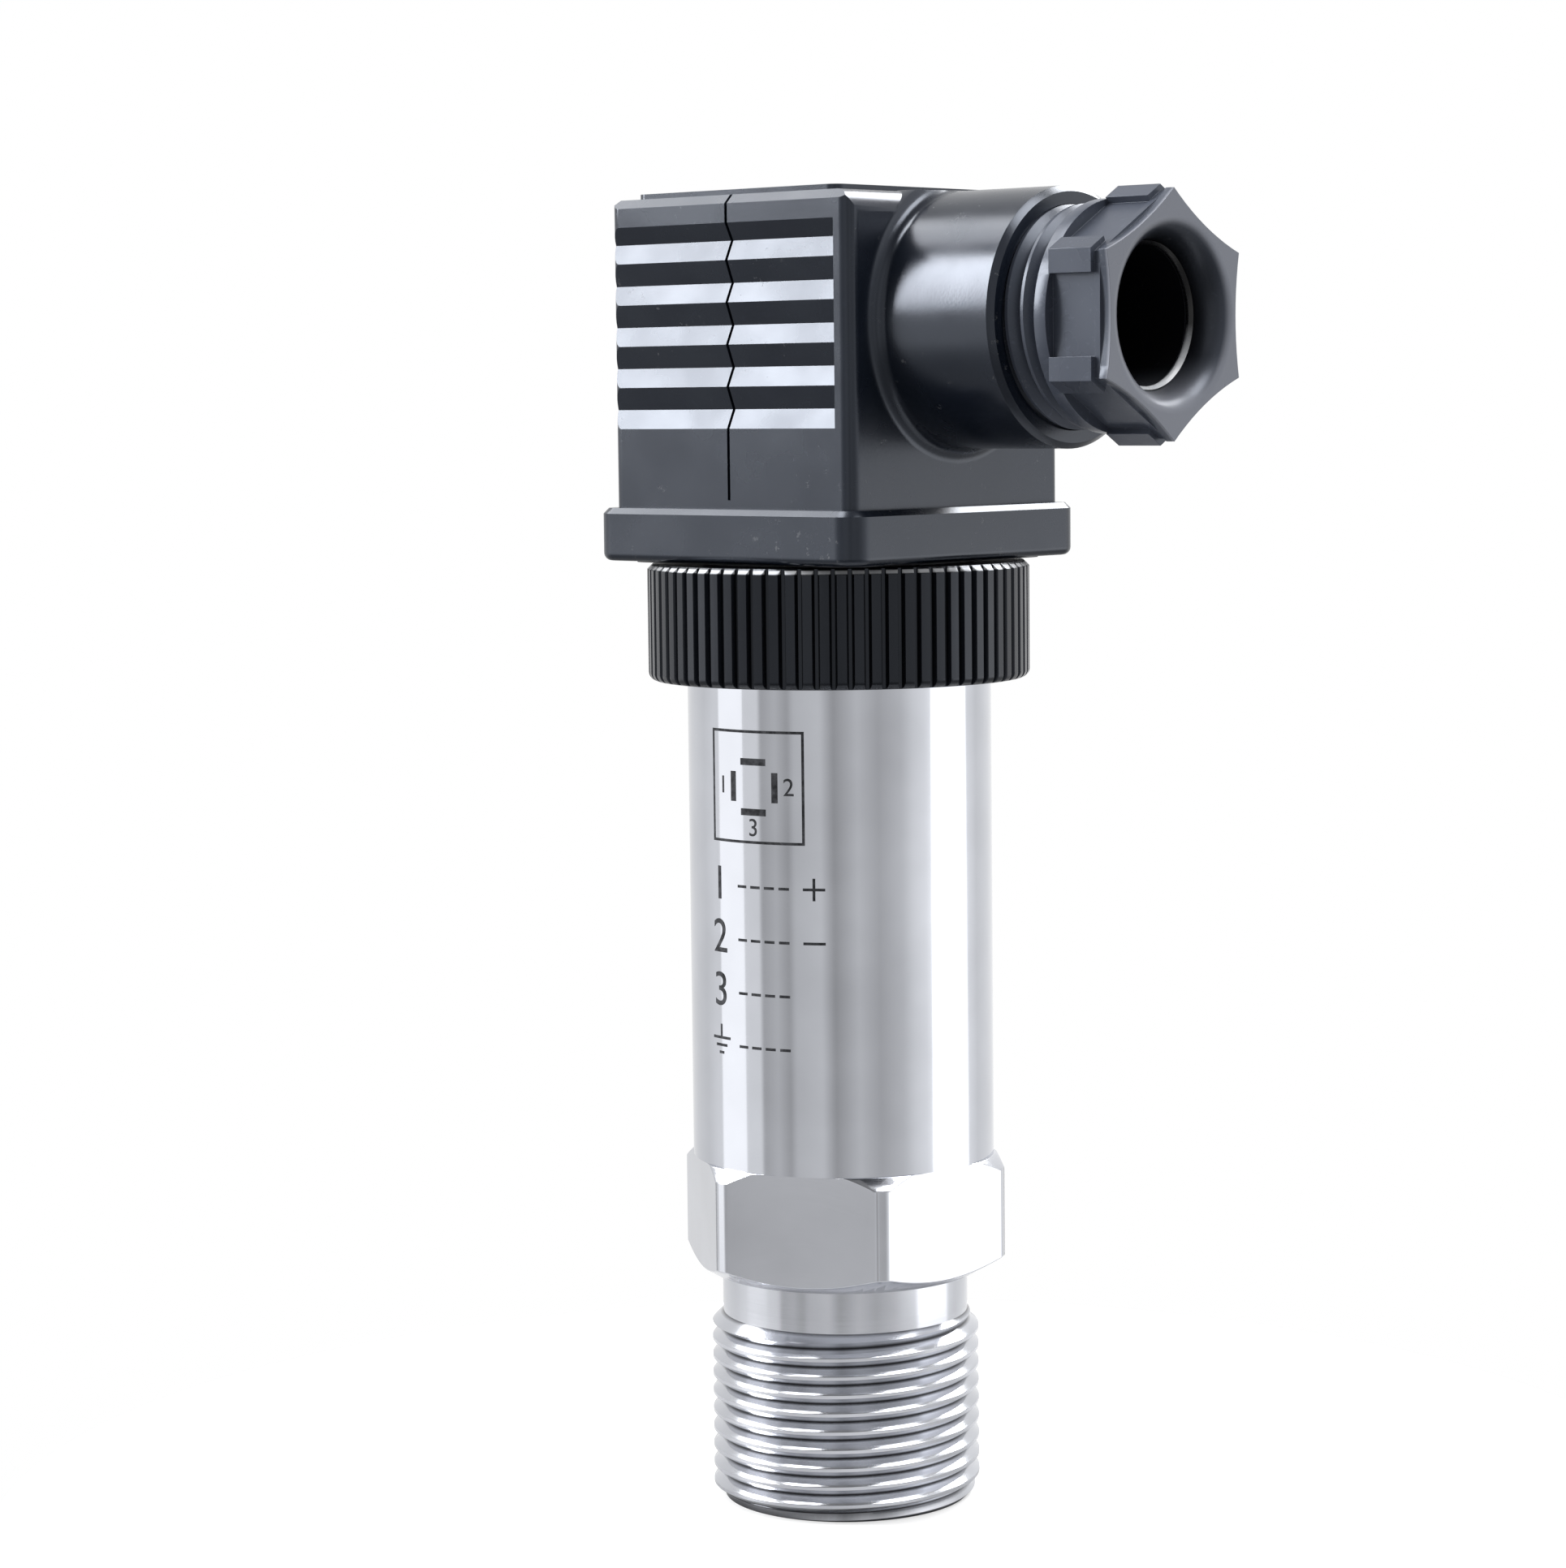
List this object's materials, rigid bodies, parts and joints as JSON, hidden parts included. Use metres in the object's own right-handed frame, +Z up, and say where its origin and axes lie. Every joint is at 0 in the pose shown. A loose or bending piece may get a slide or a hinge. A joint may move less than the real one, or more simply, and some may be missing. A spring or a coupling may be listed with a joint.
{
  "type": "pressure transmitter",
  "caption": "Stainless pressure transmitter: male process thread, hexagon and tube, knurled clamp ring, and a right-angle plug head with grip ribs and a hollow cable gland.",
  "frame": {"origin": "centre of the pressure port's mouth, on the flat end of the process thread", "axes": "+Z up the tube's axis towards the plug head, +X out of the cable outlet, ribbed sides of the plug facing -Y and +Y"},
  "size_m": [0.0495, 0.031, 0.1066],
  "materials": {
    "stainless": "fine turned, bright",
    "housing_black": "smooth moulded, charcoal with a satin sheen",
    "ring_black": "moulded, near black",
    "gland_black": "smooth moulded, charcoal",
    "carrier_grey": "moulded, dark grey",
    "seal_rubber": "matt rubber",
    "brass": "machined",
    "plated_contact": "tin-plated",
    "zinc_steel": "zinc-plated",
    "board_green": "solder mask",
    "trimmer_blue": "moulded",
    "component_black": "moulded",
    "lead_red": "wire insulation"
  },
  "bodies": {
    "casing": {"process_fitting": "stainless", "body_tube": "stainless", "sensor_capsule": "stainless", "isolating_diaphragm": "stainless", "capsule_o_ring": "seal_rubber", "retaining_ring": "stainless", "capsule_pins": "plated_contact", "compensation_board": "board_green", "board_spacers": "brass", "amplifier_board": "board_green", "board_components": "component_black", "trimmer_bodies": "trimmer_blue", "signal_leads": "lead_red"},
    "zero_rotor": {"zero_trimmer": "brass"},
    "span_rotor": {"span_trimmer": "brass"},
    "ring": {"knurled_ring": "ring_black"},
    "head": {"pin_header": "carrier_grey", "header_o_ring": "seal_rubber", "header_nut": "brass", "header_blades": "plated_contact", "earth_blade": "plated_contact"},
    "socket": {"socket_housing": "housing_black", "flat_gasket": "seal_rubber", "terminal_insert": "carrier_grey", "contact_sleeves": "plated_contact", "terminal_screws": "zinc_steel", "gland_grommet": "seal_rubber"},
    "screw_seat": {"screw_seal": "seal_rubber"},
    "screw": {"fixing_screw": "zinc_steel"},
    "gland_seat": {"gland_washer": "zinc_steel"},
    "gland": {"gland_screw": "gland_black"}
  },
  "joints": [
    {"name": "ring_turn", "type": "hinge", "parent": "casing", "child": "ring", "pos_m": [0, 0, 0.072], "axis": [0, 0, 1], "range_deg": [0, 180]},
    {"name": "head_swivel", "type": "hinge", "parent": "casing", "child": "head", "pos_m": [0, 0, 0.074], "axis": [0, 0, 1], "range_deg": [-170, 170], "deforming": ["signal_leads"]},
    {"name": "socket_lift", "type": "slide", "parent": "head", "child": "socket", "axis": [0, 0, 1], "range_m": [0, 0.02]},
    {"name": "screw_travel", "type": "slide", "parent": "socket", "child": "screw_seat", "axis": [0, 0, 1], "range_m": [0, 0.004]},
    {"name": "screw_turn", "type": "hinge", "parent": "screw_seat", "child": "screw", "pos_m": [0, 0, 0.1], "axis": [0, 0, 1], "range_deg": [0, 2880]},
    {"name": "gland_travel", "type": "slide", "parent": "socket", "child": "gland_seat", "axis": [1, 0, 0], "range_m": [-0.0023, 0.0023]},
    {"name": "gland_turn", "type": "hinge", "parent": "gland_seat", "child": "gland", "pos_m": [0.025, 0, 0.09615], "axis": [1, 0, 0], "range_deg": [-540, 540]},
    {"name": "zero_adjust", "type": "hinge", "parent": "casing", "child": "zero_rotor", "pos_m": [-0.0044, -0.0036, 0.062], "axis": [0, 0, 1], "range_deg": [-135, 135]},
    {"name": "span_adjust", "type": "hinge", "parent": "casing", "child": "span_rotor", "pos_m": [0.0044, -0.0036, 0.062], "axis": [0, 0, 1], "range_deg": [-135, 135]}
  ],
  "couplings": [
    {"joint": "screw_turn", "follows": "screw_travel", "rad_per_m": 12566},
    {"joint": "gland_travel", "follows": "gland_turn", "m_per_rad": 0.00023873}
  ]
}
